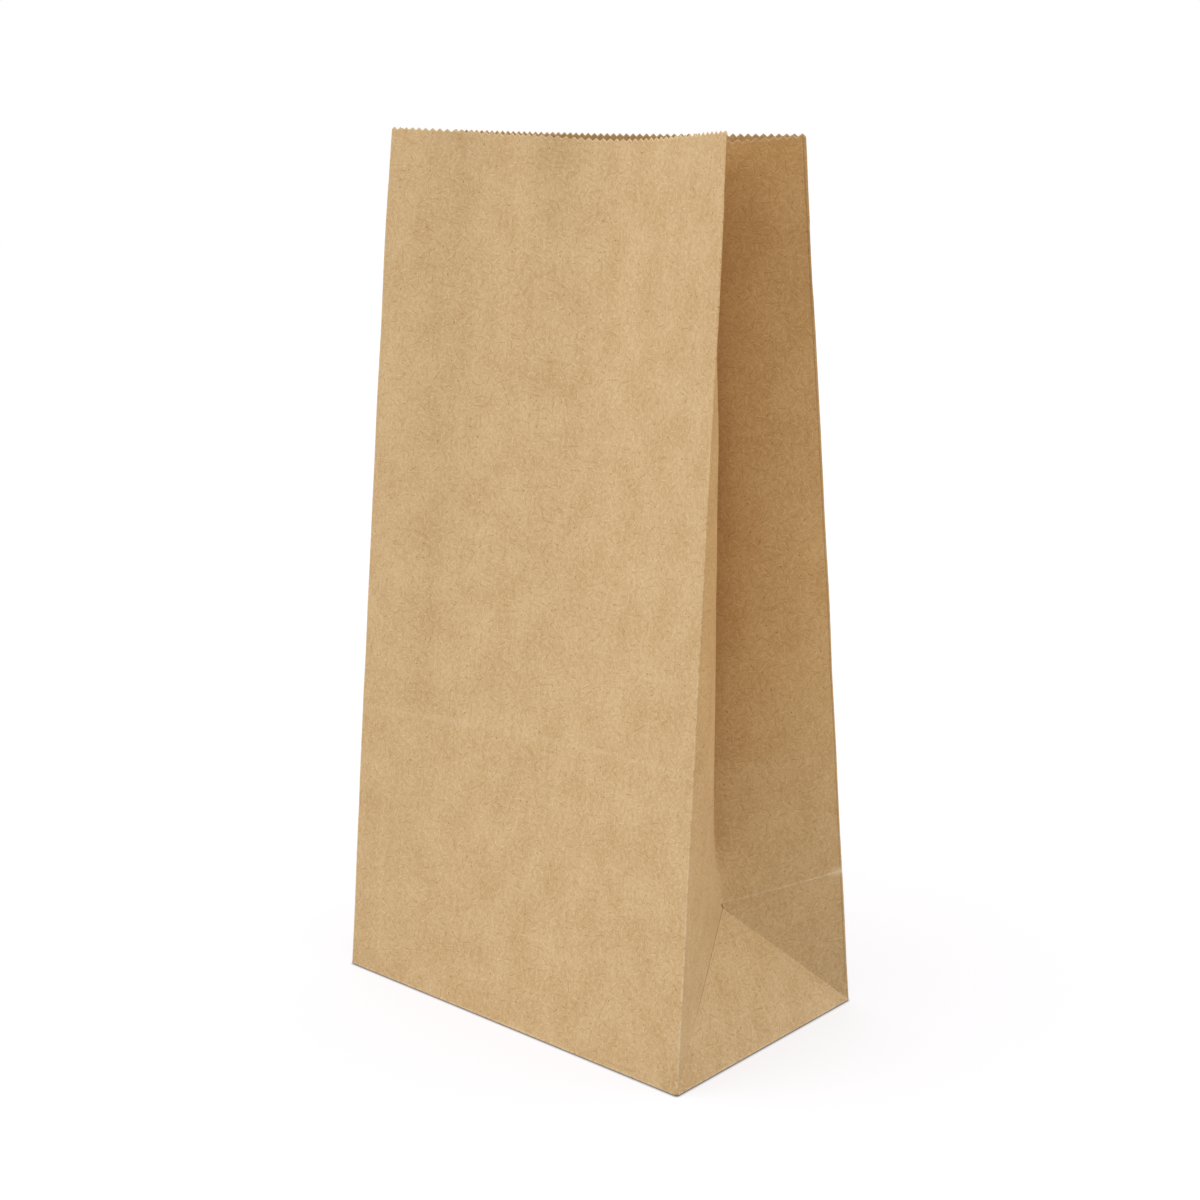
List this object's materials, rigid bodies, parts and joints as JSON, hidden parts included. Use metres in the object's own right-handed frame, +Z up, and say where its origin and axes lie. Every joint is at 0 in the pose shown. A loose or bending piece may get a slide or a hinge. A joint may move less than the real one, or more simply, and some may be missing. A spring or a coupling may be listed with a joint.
{
  "type": "paper lunch bag",
  "caption": "Open gusseted paper bag with a flat folded base and a serrated mouth, standing upright to hold a packed lunch.",
  "frame": {"origin": "middle of the base, on the surface that the bag stands on", "axes": "+X across the width of the wide panels, +Y towards the back panel, +Z up to the mouth"},
  "size_m": [0.1301, 0.0798, 0.2476],
  "materials": {
    "kraft_paper": "matt unbleached kraft"
  },
  "bodies": {
    "root": {"paper_bag": "kraft_paper"}
  },
  "joints": []
}
